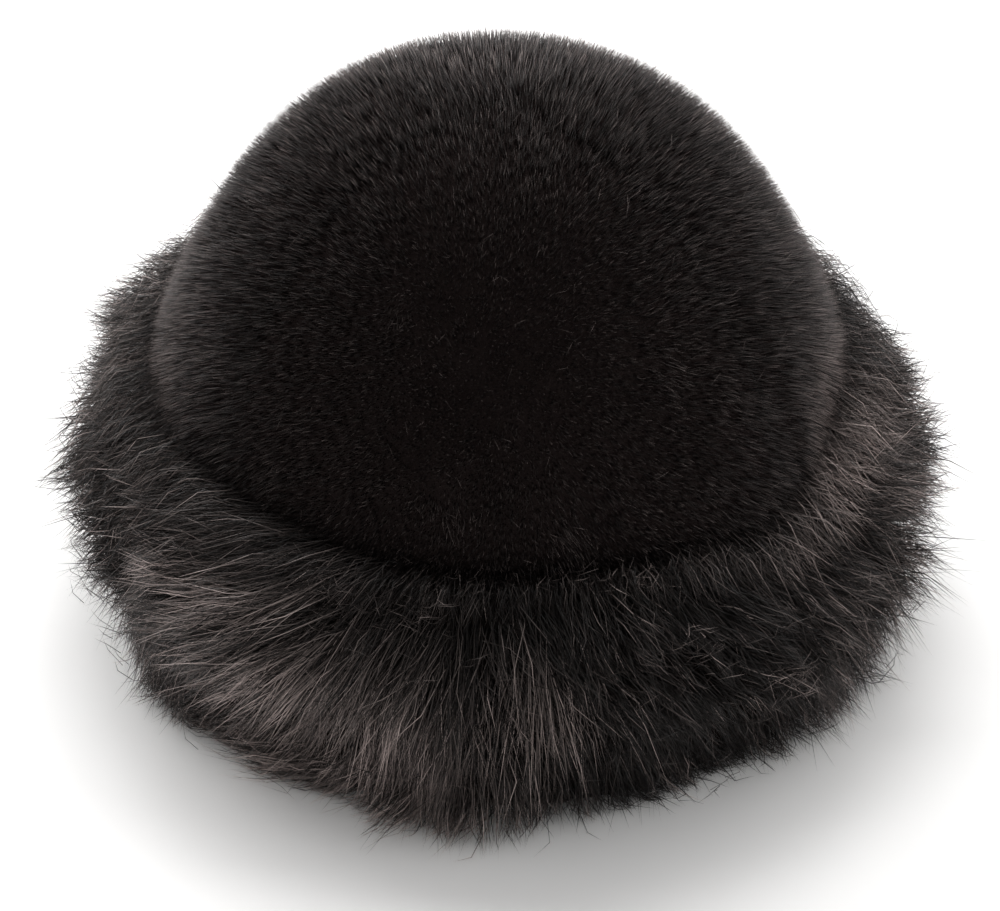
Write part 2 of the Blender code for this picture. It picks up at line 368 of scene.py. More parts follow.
def strand_parts(segments):
    """Points, triangles and map places of one strand along Z: three-sided, and drawn to a point."""
    strand = bmesh.new()
    bmesh.ops.create_cone(strand, cap_ends=True, segments=3, radius1=1.0, radius2=0.0, depth=segments)
    bmesh.ops.translate(strand, verts=strand.verts[:], vec=(0.0, 0.0, segments / 2))
    for cut in range(1, segments):
        bmesh.ops.bisect_plane(
            strand,
            geom=strand.verts[:] + strand.edges[:] + strand.faces[:],
            plane_co=(0.0, 0.0, cut),
            plane_no=(0.0, 0.0, 1.0),
        )
    bmesh.ops.remove_doubles(strand, verts=strand.verts[:], dist=1e-5)
    bmesh.ops.triangulate(strand, faces=strand.faces[:])
    bmesh.ops.recalc_face_normals(strand, faces=strand.faces[:])
    strand.verts.index_update()
    points = np.array([vert.co for vert in strand.verts])
    triangles = np.array([[vert.index for vert in face.verts] for face in strand.faces])
    around = np.arctan2(points[:, 1], points[:, 0]) / (2 * math.pi) % 1.0
    at_tip = np.hypot(points[:, 0], points[:, 1]) < TIP_SIZE
    turned = around[triangles]
    past_turn = (turned.max(axis=1, keepdims=True) - turned > 0.5) & ~at_tip[triangles]
    turned = np.where(past_turn, turned + 1.0, turned)
    beside = np.where(at_tip[triangles], 0.0, turned).sum(axis=1) / (~at_tip[triangles]).sum(axis=1)
    turned = np.where(at_tip[triangles], beside[:, None], turned)
    turned -= np.floor(turned.min(axis=1, keepdims=True))
    along = points[:, 2][triangles] / segments
    strand.free()
    return points, triangles, np.stack([along, np.clip(turned / MAP_TURNS, 0.0, 1.0)], axis=2)


def unit(vectors):
    return vectors / np.maximum(np.linalg.norm(vectors, axis=-1, keepdims=True), 1e-12)


def strands_mesh(name, paths, radii, tones, material):
    """Joins one strand for each path into a mesh. Radii are for each ring, and tones go from 0 to 1."""
    count, rings = paths.shape[:2]
    points, triangles, places = strand_parts(rings - 1)
    ring = np.rint(points[:, 2]).astype(int)
    reach = np.hypot(points[:, 0], points[:, 1])
    off_axis = points[:, :2] / np.maximum(reach, TIP_SIZE)[:, None]
    around = np.where(reach[:, None] > TIP_SIZE, off_axis, 0.0)
    chord = unit(paths[:, -1] - paths[:, 0])
    side = random.normal(size=(count, 3))
    side = unit(side - (side * chord).sum(axis=1, keepdims=True) * chord)
    rise = np.cross(chord, side)
    spread = radii[:, ring, None] * (
        around[None, :, :1] * side[:, None] + around[None, :, 1:] * rise[:, None]
    )
    corners = (paths[:, ring] + spread).reshape(-1, 3)
    loops = (triangles[None] + len(points) * np.arange(count)[:, None, None]).reshape(-1)
    row = np.clip((tones * TONE_ROWS).astype(int), 0, TONE_ROWS - 1)
    spots = np.empty((count, len(triangles), 3, 2))
    spots[..., 0] = places[None, ..., 0]
    in_row = (1.0 - 2.0 * ROW_MARGIN) * places[None, ..., 1]
    spots[..., 1] = (row[:, None, None] + ROW_MARGIN + in_row) / TONE_ROWS
    mesh = bpy.data.meshes.new(name)
    mesh.vertices.add(len(corners))
    mesh.vertices.foreach_set("co", corners.astype(np.float32).ravel())
    mesh.loops.add(len(loops))
    mesh.loops.foreach_set("vertex_index", loops.astype(np.int32))
    mesh.polygons.add(len(loops) // 3)
    mesh.polygons.foreach_set("loop_start", np.arange(0, len(loops), 3, dtype=np.int32))
    mesh.uv_layers.new(name=FUR_MAP).data.foreach_set("uv", spots.astype(np.float32).ravel())
    mesh.materials.append(material)
    mesh.update(calc_edges=True)
    mesh.validate()
    mesh.shade_smooth()
    return mesh


def drift(places, size, waves=7):
    """An even, wandering value of about -1 to 1 that changes over this distance."""
    directions = unit(random.normal(size=(waves, 3))) * (2 * math.pi / size)
    directions *= random.uniform(0.6, 1.5, size=(waves, 1))
    phases = random.uniform(0.0, 2 * math.pi, size=waves)
    return np.sin(places @ directions.T + phases).sum(axis=1) / math.sqrt(waves)


def half_round(turn):
    """The same turn, counted from -180 to 180."""
    return (turn + 180.0) % 360.0 - 180.0


def swelling(turn, centre, spread):
    """1 at the centre, falling off on both sides."""
    return np.exp(-((half_round(turn - centre) / spread) ** 2))


def climb(value, start, reach):
    """0 up to the start, rising evenly to 1 over the reach."""
    return np.clip((value - start) / reach, 0.0, 1.0)


def fade(value, reach):
    """1 at nothing, falling evenly to 0 at the reach."""
    return np.clip(1.0 - value / reach, 0.0, 1.0)


def ruffle(places):
    """How much more or less the pile leans here, in larger and smaller patches."""
    return sum(slope * drift(places, size) for size, slope in RUFFLES)


# The line of the crown's seam: the upper edge of the band, as height by turn
BAND_TOP_FROM = 0.05  # the band's corners above this are on its upper edge
band_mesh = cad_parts["brim_band"].data
band_places = np.array([vert.co for vert in band_mesh.vertices])
band_tops = band_places[band_places[:, 2] > BAND_TOP_FROM]
top_turns = turn_round(band_tops[:, 0], band_tops[:, 1])
top_order = np.argsort(top_turns)
top_turns, top_heights = top_turns[top_order], band_tops[top_order, 2]

# Sheared modacrylic pile: near black down to the root, as painted shade, and painted lighter only at the cut
# tips, as painted sheen, so that the crown has a soft, even bloom with a few bright hairs in it.
pile_fibre = fibre_material(
    "sheared_modacrylic_pile",
    root="#120c0b",
    dark="#191312",
    light="#c8b6b1",
    lift_start=0.35,
    lift_power=2.0,
    gloss=0.4,
    shine=0.2,
)

# Where the faces of each gore are between the seams, counted from the back by the left
GORE_PLACES = {"crown_front": (2,), "crown_right": (3,), "crown_back": (0, 4), "crown_left": (1,)}

for gore_name in gore_names:
    here = np.isin(dome_gores, GORE_PLACES[gore_name])
    corners = dome_corners[here]
    normals = dome_normals[here]
    evened = dome_evened[here]
    areas = np.linalg.norm(np.cross(corners[:, 1] - corners[:, 0], corners[:, 2] - corners[:, 0]), axis=1)
    count = PILE_COUNTS[gore_name]
    chosen = random.choice(len(areas), size=count, p=areas / areas.sum())
    mix = random.dirichlet((1.0, 1.0, 1.0), size=count)[:, :, None]
    face_place = (corners[chosen] * mix).sum(axis=1)
    turn = turn_round(face_place[:, 0], face_place[:, 1])
    away = half_round(turn[:, None] - np.array(SEAM_TURNS))
    radius = np.hypot(face_place[:, 0], face_place[:, 1])
    seam_away = np.radians(away) * radius[:, None]
    closest = np.abs(seam_away).argmin(axis=1)
    seam_off = seam_away[np.arange(count), closest]
    seam_height = np.interp(turn, top_turns, top_heights, period=360.0)
    above_seam = face_place[:, 2] - seam_height
    shows = np.array(SEAM_SHOWS)[closest] * np.clip(1.2 - above_seam / SEAM_SHOW_HEIGHT, 0.0, 1.0)
    creased = unit((normals[chosen] * mix).sum(axis=1))
    smooth = unit((evened[chosen] * mix).sum(axis=1))
    normal = unit(smooth + (creased - smooth) * shows[:, None])
    down = unit(np.array([0.0, 0.0, -1.0]) - normal * -normal[:, 2:])
    across = np.cross(normal, down)
    ruffle_down = ruffle(face_place)
    ruffle_across = ruffle(face_place)
    low_side = fade(above_seam, LOW_PILE) * climb(np.abs(turn), 30.0, 25.0)
    nap = FRONT_NAP + (SIDE_NAP - FRONT_NAP) * (1.0 - swelling(turn, 0.0, FRONT_SPREAD))
    brushed_and_sheen = sum(
        amount * swelling(turn, centre, spread) * np.exp(-(((above_seam - middle) / reach) ** 2))
        for centre, spread, middle, reach, amount in BRUSHED_AND_SHEEN_SIDES
    )
    nap += 0.3 * low_side + 0.7 * brushed_and_sheen
    lean = down * (nap + ruffle_down + random.normal(0.0, LEAN_SPREAD, count))[:, None]
    swirl = SIDE_LEAN[gore_name] * fade(above_seam, SWIRL_HEIGHT)
    lean += across * (swirl + ruffle_across + random.normal(0.0, LEAN_SPREAD, count))[:, None]
    parting = np.exp(-((seam_off / PARTING_HALF_WIDTH) ** 2)) * climb(radius, 0.0, TOP_RADIUS) * shows
    fill = SEAM_CREASE * fade(np.abs(seam_off), CREASE_REACH) * (1.0 - 0.6 * shows)
    rubbed_and_sheen = np.zeros(count)
    for spot_turn, spot_height, spot_radius in RUBBED_AND_SHEEN_SPOTS:
        off = np.hypot(np.radians(turn - spot_turn) * radius, face_place[:, 2] - spot_height)
        rubbed_and_sheen = np.maximum(rubbed_and_sheen, np.exp(-((off / spot_radius) ** 2)) * random.uniform(0.0, 1.0, count))
    lean += (down * RUBBED_LEAN[0] + across * RUBBED_LEAN[1]) * rubbed_and_sheen[:, None]
    speck = random.random(count) < SPECK_SHARE
    speck_lean = down * random.normal(0.0, SPECK_LEAN[0], count)[:, None] + across * SPECK_LEAN[1]
    lean += np.where(speck, 1.0, 0.0)[:, None] * speck_lean
    direction = unit(normal + lean)
    length = PILE_DEPTH + PILE_ROOT + PILE_RISE + random.normal(0.0, SHEAR_SPREAD, count) + fill
    stray = random.random(count) < STRAY_SHARE
    length += np.where(stray, random.uniform(*STRAY_LONGER, count), 0.0) + np.where(speck, SPECK_LONGER, 0.0)
    length += LOW_LONGER * low_side + RIGHT_LONGER * swelling(turn, 90.0, 40.0)
    length -= PARTING_DROP * parting
    root = face_place - normal * (PILE_DEPTH + PILE_ROOT)
    tip = root + direction * length[:, None]
    paths = np.stack([root, tip], axis=1)
    coarser = BACK_COARSER if gore_name == "crown_back" else 1.0
    radii = PILE_RADIUS * coarser * random.uniform(0.7, 1.2, count)[:, None] * np.array([1.0, 0.0])
    # The parting is painted darker, as painted shade; the back and the rubbed and brushed pile are painted
    # lighter, as painted sheen; strands that stand out are lighter, the specks as painted glints
    tones = MIDDLE_TONE + 0.06 * drift(face_place, 0.02) + random.normal(0.0, 0.24, count) - 0.4 * parting
    tones += 0.12 * climb(np.abs(turn), 110.0, 30.0) + 0.5 * rubbed_and_sheen + 0.6 * brushed_and_sheen
    tones += np.where(stray, 0.5, 0.0) + np.where(speck, 0.7, 0.0)
    mesh = strands_mesh(gore_name + "_pile", paths, radii, tones, pile_fibre)
    pile = place_piece(gore_name + "_pile", mesh, "crown_fur", gore_name)

# Brim underfur: the dense woolly hair under the long hair of the brim, all round the band.
# It is the same matted fibre as the crown's, and fills the inner two fifths of the brim's depth.
# It hides the band between the long strands.

CROWN_HALF_WIDTH = 0.102
CROWN_HALF_DEPTH = 0.108
RING_HALF_WIDTH = 0.0938  # half of the underfur's opening, 0.3 mm clear of the band's outer side
RING_HALF_DEPTH = 0.0998
HAIR_REACH = 0.021  # from the crown's lower edge out to the form of the long hair
FLOOR_GAP = 0.001
SWELLS = ((51.0, 35.0, 0.17), (-128.0, 35.0, 0.17))  # turn, spread and reach where the brim is fuller
# The underfur's cross-section, as (out, share of the brim's height), from below the band and round it
UNDERFUR_PROFILE = (
    (-0.95, 0.0),
    (0.00, 0.0),
    (0.10, 0.04),
    (0.19, 0.14),
    (0.28, 0.30),
    (0.36, 0.48),
    (0.40, 0.66),
    (0.37, 0.84),
    (0.24, 0.94),
    (0.08, 1.0),
    (-0.30, 1.01),
    (-0.95, 1.0),
)
RING_STEPS = 144
RING_RADIUS = 3.0  # of the ring as it is spun, before it is fitted to the hat
LUMPS = (0.03, 0.05)  # how large the matted lumps are, and how far out they stand
LUMPY_FROM = 0.2  # how far out the underfur is lumpy


def swell_at(turn):
    """How much fuller the brim is at these turns."""
    total = np.ones_like(turn)
    for centre, spread, reach in SWELLS:
        total += reach * swelling(turn, centre, spread)
    return total


def brim_point(turn, out, share):
    """A point of the brim: out is 0 at the crown's edge, -1 at the band and 1 at the hair's form."""
    turn = np.asarray(turn, float)
    top = np.interp(half_round(turn), top_turns, top_heights, period=360.0)
    beyond = np.maximum(out, 0.0) * HAIR_REACH * swell_at(turn)
    inside = np.maximum(-np.asarray(out), 0.0)
    half_width = CROWN_HALF_WIDTH + (RING_HALF_WIDTH - CROWN_HALF_WIDTH) * inside + beyond
    half_depth = CROWN_HALF_DEPTH + (RING_HALF_DEPTH - CROWN_HALF_DEPTH) * inside + beyond
    angle = np.radians(turn)
    height = FLOOR_GAP + share * (top - FLOOR_GAP)
    return np.stack([half_width * np.sin(angle), -half_depth * np.cos(angle), height], axis=-1)


ring = bmesh.new()
ring_row = [ring.verts.new((0.0, -(RING_RADIUS + out), share)) for out, share in UNDERFUR_PROFILE]
ring_edges = [ring.edges.new(pair) for pair in zip(ring_row, ring_row[1:] + ring_row[:1])]
bmesh.ops.spin(
    ring,
    geom=ring_row + ring_edges,
    axis=(0.0, 0.0, 1.0),
    angle=2 * math.pi,
    steps=RING_STEPS,
    use_merge=True,
)
bmesh.ops.recalc_face_normals(ring, faces=ring.faces[:])
ring_spun = np.array([vert.co for vert in ring.verts])
ring_turn = turn_round(ring_spun[:, 0], ring_spun[:, 1])
ring_out = np.hypot(ring_spun[:, 0], ring_spun[:, 1]) - RING_RADIUS
ring_lump = LUMPS[1] * drift(brim_point(ring_turn, ring_out, ring_spun[:, 2]), LUMPS[0])
ring_out += np.where(ring_out > LUMPY_FROM, ring_lump, 0.0)
for vert, place in zip(ring.verts, brim_point(ring_turn, ring_out, ring_spun[:, 2])):
    vert.co = place
# Under the long hair it lies in shade: its colour is painted darker than the crown's, as painted shade, so
# the gaps between tufts look deep.
brim_underfur = underfur_material("matted_modacrylic_underfur_painted_shade", "#070504", "#16110f")
place_piece("brim_underfur", mesh_of("brim_underfur", ring, brim_underfur), "brim_hair", "brim_fur")

# Brim long hair: straight modacrylic guard hair. 10 to 30 mm of it shows, or 45 mm at the left front.
# It springs outwards from the cloth, droops over the edge, and gathers into pointed tufts.
# At the front it parts: to the left it is combed well down, to the right it stands straight out.

HAIR_RADIUS = 0.00012  # a strand stands for a few real hairs of 0.05 mm
# First turn, last turn, strands, and pieces to a strand
BRIM_SECTORS = {
    "front_left": (-45.0, 0.0, 6300, 3),
    "front_right": (0.0, 45.0, 6500, 3),
    "right": (45.0, 135.0, 11000, 2),
    "back": (135.0, 225.0, 7200, 2),
    "left": (225.0, 315.0, 11000, 2),
}
TUFT_HAIRS = 13  # strands to a tuft
SEAM_TUFTS = 0.20  # share of the tufts that grow close under the crown's seam
ASTRAY_SHARE = 0.17  # strands that leave their tuft
ASTRAY = 4.0  # how many times as far as the others they miss its point
LONG_SHARE = 0.09  # strands that stand out past their tuft
LONG_REACH = 0.40  # by up to this share of the reach
HAIR_WAVER = 0.0010  # how far a strand strays from its even curve
TABLE_CLEAR = (0.0008, 0.0006)  # lowest height over the table, and how much higher a strand may keep
TUFT_SPACE = 1.9  # degrees between the points into which the tufts' tips gather
TUFT_RISE = 0.11  # share of the height from one such point to the next above it
# How far out the lowest hair reaches round the hat, as (turn, share of the reach)
LOW_REACH = ((-180, 0.55), (-110, 0.34), (-80, 0.24), (-57, 0.58), (-44, 0.38), (-32, 0.24), (-20, 0.30),
             (-12, 0.42), (-5, 0.72), (0, 0.76), (4, 0.58), (9, 0.46), (16, 0.36), (26, 0.25), (42, 0.36),
             (52, 0.62), (70, 0.66), (90, 0.50), (130, 0.50), (180, 0.55))
# How far out the other hair reaches, as (share of the height, share of the reach)
HIGH_REACH = ((0.0, 0.90), (0.35, 0.98), (0.6, 1.04), (0.8, 1.0), (0.92, 0.9), (1.0, 0.78))
# What that reach is multiplied by round the hat, as (turn, factor)
SIDE_REACH = ((-180, 1.0), (-125, 1.0), (-100, 0.86), (-84, 0.92), (-75, 0.82), (-58, 0.93), (-30, 1.0),
              (30, 1.0), (60, 1.05), (80, 1.16), (98, 1.0), (125, 0.88), (180, 1.0))

# Combed modacrylic guard hair: painted black at the root, as painted shade, and painted lighter along its
# length, as painted sheen, with a sharper sheen than the pile's, so that single strands draw bright lines
# over the dark tufts.
long_fibre = fibre_material(
    "combed_modacrylic_guard_hair",
    root="#0a0706",
    dark="#120d0c",
    light="#dfccc6",
    lift_start=0.14,
    lift_power=1.1,
    gloss=0.34,
    shine=0.2,
)


def read_run(run, value):
    """Reads a value off a run of pairs."""
    return np.interp(value, [pair[0] for pair in run], [pair[1] for pair in run])


def profile_out(share):
    """How far out the underfur reaches at this share of the height."""
    return read_run([(share_at, out_at) for out_at, share_at in UNDERFUR_PROFILE[1:-1]], share)


def hair_paths(root, bend, gather, end_out, arch, steps):
    """Paths of strands that spring out from their roots, bend over, and gather towards their ends.

    The root is a turn, an out and a share. The bend and the gathering are a turn and a share each,
    and the higher its power, the nearer to the tip each comes.
    """
    count = len(end_out)
    paths = np.empty((count, len(steps), 3))
    for place, along in enumerate(steps):
        turn_at = root[0] + bend[0] * along**1.3 + gather[0] * along**2.2
        out_at = root[1] + (end_out - root[1]) * (1.0 - (1.0 - along) ** 1.3)
        share_at = root[2] + bend[1] * along**1.8 + gather[1] * along**2.2 + arch * math.sin(math.pi * along)
        paths[:, place] = brim_point(turn_at, out_at, np.maximum(share_at, 0.0))
    paths[:, 1:] += random.normal(0.0, HAIR_WAVER, (count, len(steps) - 1, 3))
    lowest = TABLE_CLEAR[0] + TABLE_CLEAR[1] * random.random(count)[:, None]
    paths[:, :, 2] = np.maximum(paths[:, :, 2], lowest)
    return paths


# How much lighter the hair is painted round the hat, as painted light and shade, as (turn, tone)
PAINTED_LIGHT_ROUND = ((-180, 0.0), (-110, 0.0), (-85, -0.03), (-68, -0.16), (-50, -0.12), (-34, 0.06),
              (-22, 0.22), (-12, 0.22), (-3, -0.02), (6, -0.22), (20, -0.40), (35, -0.30), (50, -0.20),
              (66, -0.04), (80, 0.0), (95, -0.05), (120, 0.05), (180, 0.0))
# How much higher its tips stand, as (turn, share of the height)
LIFT_ROUND = ((-180, 0.03), (-80, 0.05), (-50, 0.0), (40, 0.0), (60, 0.06), (100, 0.06), (180, 0.03))
# Low on the brim the tufts hang to the table: the share of the height where most do, and how far
HANG_SHARE = 0.30
HANG_FALL = 0.22
# For strands of two and of three pieces: where their rings are along them, and how thick each ring is
STRAND_STEPS = {2: (0.0, 0.55, 1.0), 3: (0.0, 0.36, 0.72, 1.0)}
STRAND_TAPER = {2: (0.9, 1.05, 0.0), 3: (0.9, 1.05, 0.9, 0.0)}
gather_turns = np.cumsum(random.uniform(0.55, 1.45, round(360.0 / TUFT_SPACE)))
gather_turns *= 360.0 / gather_turns[-1]
gather_reach = random.normal(1.0, 0.16, len(gather_turns))
gather_share_start = random.random(len(gather_turns))

for sector, (start, end, count, pieces) in BRIM_SECTORS.items():
    # Tufts: where each grows, how it hangs, and where its tips come together.
    tufts = count // TUFT_HAIRS
    tuft_turn = random.uniform(start, end, tufts)
    tuft_share = np.where(
        random.random(tufts) < SEAM_TUFTS,
        random.uniform(0.90, 1.0, tufts),
        0.03 + 0.90 * random.uniform(0.0, 1.0, tufts) ** 1.1,
    )
    tuft_place = brim_point(tuft_turn, 0.7, tuft_share)
    away = half_round(tuft_turn)
    left_front = np.where(away < -1.5, 1.0, 0.1)
    droop = 0.02 + 0.32 * swelling(tuft_turn, -10.0, 19.0) * left_front * np.clip(tuft_share * 1.6, 0.0, 1.0)
    sweep = -16.0 * swelling(tuft_turn, -30.0, 19.0) * left_front + 3.0 * swelling(tuft_turn, 24.0, 18.0)
    calm = 1.0 - 0.6 * swelling(tuft_turn, 26.0, 22.0)
    sweep += (2.5 * drift(tuft_place, 0.03) + random.normal(0.0, 1.8, tufts)) * calm
    wander = 2.5 * drift(tuft_place, 0.03)
    nearest = np.searchsorted(gather_turns, (tuft_turn + sweep + wander) % 360.0) % len(gather_turns)
    miss = half_round(gather_turns[nearest] - (tuft_turn + sweep + wander))
    sweep += miss + random.normal(0.0, 0.25, tufts)
    fall = (0.06 * drift(tuft_place, 0.04) + random.normal(0.0, 0.055, tufts)) * calm - droop
    fall += -0.03 - 0.03 * tuft_share + read_run(LIFT_ROUND, away) * climb(tuft_share, 0.0, 0.5)
    hang = fade(np.abs(tuft_share - HANG_SHARE), HANG_SHARE)
    fall -= HANG_FALL * hang * (1.0 - 0.6 * climb(np.abs(away), 50.0, 30.0))
    tip_share = (tuft_share + fall) / TUFT_RISE + gather_share_start[nearest]
    to_back = climb(np.abs(away), 85.0, 30.0)
    fall += (0.7 - 0.5 * to_back) * (np.round(tip_share) - tip_share) * TUFT_RISE
    low = read_run(LOW_REACH, away)
    high = read_run(HIGH_REACH, tuft_share) * read_run(SIDE_REACH, away)
    blend = climb(tuft_share + fall, 0.0, 0.55)
    blend = blend * blend * (3.0 - 2.0 * blend)
    tip_out = (low + (high - low) * blend) * random.normal(1.0, 0.07, tufts) * gather_reach[nearest]
    tip_out += 0.05 * drift(tuft_place, 0.05)
    tip_out = np.maximum(tip_out, profile_out(np.maximum(tuft_share + fall, 0.0)) + 0.14)
    # Over a random tone, painted light low down on the left half and high up at the left front, and painted
    # shade at the front seam
    tuft_tone_and_light = MIDDLE_TONE + 0.08 * drift(tuft_place, 0.03) + random.normal(0.0, 0.08, tufts)
    tuft_tone_and_light += read_run(PAINTED_LIGHT_ROUND, away) + 0.25 * fade(tuft_share, 0.25) * (away < 14.0)
    tuft_tone_and_light += 0.16 * climb(tuft_share, 0.7, 0.2) * swelling(tuft_turn, -42.0, 16.0)
    tuft_tone_and_light -= 0.25 * climb(tuft_share, 0.85, 0.1) * swelling(tuft_turn, -8.0, 14.0)

    # Strands: each belongs to a tuft, and some leave it.
    tuft = random.integers(0, tufts, count)
    off_turn = random.normal(0.0, 1.5, count) * (1.0 + 0.5 * to_back[tuft])
    root_share = random.normal(0.0, 0.035, count) * (1.0 + to_back[tuft])
    root_share = np.clip(tuft_share[tuft] + root_share, 0.005, 1.0)
    at_seam = climb(root_share, 0.9, 0.1)
    root_out = profile_out(root_share) - 0.12 - 0.25 * at_seam + random.normal(0.0, 0.05, count) * at_seam
    hold = random.beta(3.5, 1.0, count) * (1.0 - 0.35 * to_back[tuft])
    astray = np.where(random.random(count) < ASTRAY_SHARE, ASTRAY, 1.0)
    gather_turn = -off_turn * hold + random.normal(0.0, 0.4, count) * astray
    gather_share = (tuft_share[tuft] - root_share) * hold + random.normal(0.0, 0.014, count) * astray
    end_out = tip_out[tuft] * random.normal(1.0, 0.09, count)
    stands_out = random.random(count) < LONG_SHARE
    end_out += np.where(stands_out, random.uniform(0.0, LONG_REACH, count), 0.0)
    arch = 0.02 + (0.28 * droop[tuft] + 0.05 * hang[tuft]) * np.clip(1.9 - 2.0 * root_share, 0.0, 1.0)
    arch += random.normal(0.0, 0.02, count)
    paths = hair_paths(
        (tuft_turn[tuft] + off_turn, root_out, root_share),
        (sweep[tuft], fall[tuft]),
        (gather_turn, gather_share),
        end_out,
        arch,
        STRAND_STEPS[pieces],
    )
    radii = HAIR_RADIUS * random.uniform(0.6, 1.35, count)[:, None] * np.array(STRAND_TAPER[pieces])
    tones = tuft_tone_and_light[tuft] + random.normal(0.0, 0.30, count)
    mesh = strands_mesh("brim_hair_" + sector, paths, radii, tones, long_fibre)
    place_piece("brim_hair_" + sector, mesh, "brim_hair", "brim_fur")

# Hair over the seam: guard hair rooted just above the crown's seam, where the brim's fur is turned in.
# It lies out over the brim all round, so that crown and brim run into each other. At the front it is
# short and painted dark, as painted shade at the join, and at the left front it is swept aside with the hair
# below it.

SEAM_HAIRS = 11000
SEAM_ROOT = 0.99  # share of the brim's height from which it grows
# Brushed guard hair: the same fibre as the brim's, but painted light from the root on, a painted lit copy of
# it, because it lies flat and open to the light. It veils the join with a grey haze.
seam_fibre = fibre_material(
    "brushed_modacrylic_guard_hair_painted_lit",
    root="#0a0706",
    dark="#120d0c",
    light="#dfccc6",
    lift_start=0.0,
    lift_power=0.5,
    gloss=0.34,
    shine=0.2,
)
seam_turn = random.uniform(0.0, 360.0, SEAM_HAIRS)
at_front = swelling(seam_turn, 2.0, 40.0)
seam_root_share = SEAM_ROOT + (0.24 - 0.18 * at_front) * random.random(SEAM_HAIRS) ** 1.4
seam_sweep = random.normal(0.0, 2.0, SEAM_HAIRS) - 13.0 * swelling(seam_turn, -36.0, 19.0)
seam_fall = random.normal(0.0, 0.04, SEAM_HAIRS) - 0.9 * (seam_root_share - SEAM_ROOT)
seam_paths = hair_paths(
    (seam_turn, random.uniform(-0.45, -0.20, SEAM_HAIRS), seam_root_share),
    (seam_sweep, seam_fall - 0.05 * at_front),
    (0.0, 0.0),
    random.uniform(0.20, 0.85, SEAM_HAIRS) * (1.0 - 0.25 * at_front),
    random.uniform(0.0, 0.05, SEAM_HAIRS),
    STRAND_STEPS[2],
)
seam_radii = HAIR_RADIUS * random.uniform(0.5, 1.0, SEAM_HAIRS)[:, None] * np.array(STRAND_TAPER[2])
# Over a random tone, painted light and shade round the hat: dark at the front, light at the right, and
# darker again at the left and behind the right side
seam_tones_and_light = 0.46 - 0.28 * at_front + 0.24 * swelling(seam_turn, 68.0, 18.0)
seam_tones_and_light -= 0.10 * swelling(seam_turn, -65.0, 25.0)
seam_tones_and_light -= 0.16 * swelling(seam_turn, 102.0, 16.0)
seam_tones_and_light += random.normal(0.0, 0.22, SEAM_HAIRS)
seam_mesh = strands_mesh("brim_seam_hair", seam_paths, seam_radii, seam_tones_and_light, seam_fibre)
place_piece("brim_seam_hair", seam_mesh, "brim_hair", "brim_fur")

# Loose hairs: single guard hairs that the comb missed, on the brim and along the crown's seam.
# They are the same fibre, kinked by heat, and painted lighter, as painted highlights, for lying across the
# rest.
# Right of the front parting a fan of them falls over the dark fur.

FAN_HAIRS = 110
FAN_TURN = 5.0  # degrees from the front
fan_root_turn = random.normal(FAN_TURN, 2.6, FAN_HAIRS)
fan_sweep = 1.0 + (fan_root_turn - FAN_TURN) * 1.4 + random.normal(0.0, 3.0, FAN_HAIRS)
fan_root_share = random.uniform(0.70, 0.98, FAN_HAIRS)
fan_paths = hair_paths(
    (fan_root_turn, profile_out(fan_root_share) + 0.1, fan_root_share),
    (fan_sweep, random.uniform(-0.62, -0.30, FAN_HAIRS)),
    (0.0, 0.0),
    random.uniform(0.85, 1.15, FAN_HAIRS),
    random.uniform(0.02, 0.10, FAN_HAIRS),
    STRAND_STEPS[3],
)
fan_radii = HAIR_RADIUS * random.uniform(0.7, 1.1, FAN_HAIRS)[:, None] * np.array(STRAND_TAPER[3])
# The fan's hairs are painted light, as painted highlights over the dark fur
fan_mesh = strands_mesh("brim_fan", fan_paths, fan_radii, random.uniform(0.55, 0.999, FAN_HAIRS), long_fibre)
place_piece("brim_fan", fan_mesh, "brim_hair", "brim_fur")

# Where loose hairs lie, as (first turn, last turn, lowest share, highest share, out, count, tone); the tone
# paints them lighter, as painted highlights
LOOSE_PLACES = (
    (-180.0, 180.0, 0.94, 1.08, 0.12, 600, 0.4),
    (12.0, 44.0, 0.96, 1.08, 0.12, 70, 0.75),
    (19.0, 25.0, 0.98, 1.04, 0.16, 34, 0.9),
    (37.0, 43.0, 0.50, 0.70, 0.98, 34, 0.85),
    (24.0, 31.0, 0.76, 0.95, 0.85, 22, 0.85),
    (-30.0, -6.0, 0.80, 1.04, 0.45, 160, 0.55),
    (-180.0, 180.0, 0.15, 0.95, 1.0, 900, 0.5),
)
LOOSE_RADIUS = 0.00010
LOOSE_TAPER = (1.0, 0.9, 0.0)
LOOSE_HALF_LENGTH = (0.0025, 0.0065)
LOOSE_DIP = 0.003  # how far one end goes into the fur
LOOSE_LIFT = 0.0015  # how far the other end stands out
upright = np.array([0.0, 0.0, 1.0])
loose_paths, loose_tones_and_glints = [], []
for first, last, low_share, high_share, out, count, tone in LOOSE_PLACES:
    turn = random.uniform(first, last, count)
    share = random.uniform(low_share, high_share, count)
    middle = brim_point(turn, out + random.normal(0.0, 0.06, count), share)
    outward = unit(brim_point(turn, 1.5, share) - brim_point(turn, 0.5, share))
    along = unit(np.cross(upright, outward))
    angle = random.uniform(0.0, math.pi, count)[:, None]
    reach = random.uniform(*LOOSE_HALF_LENGTH, count)[:, None]
    lie = along * np.cos(angle) + upright * np.sin(angle)
    kink = unit(lie + random.normal(0.0, 0.35, (count, 3)))
    start = middle - lie * reach - outward * LOOSE_DIP
    end = middle + kink * reach + outward * LOOSE_LIFT
    loose_paths.append(np.stack([start, middle, end], axis=1))
    loose_tones_and_glints.append(tone + random.normal(0.0, 0.15, count))
loose_paths = np.concatenate(loose_paths)
loose_tones_and_glints = np.concatenate(loose_tones_and_glints)
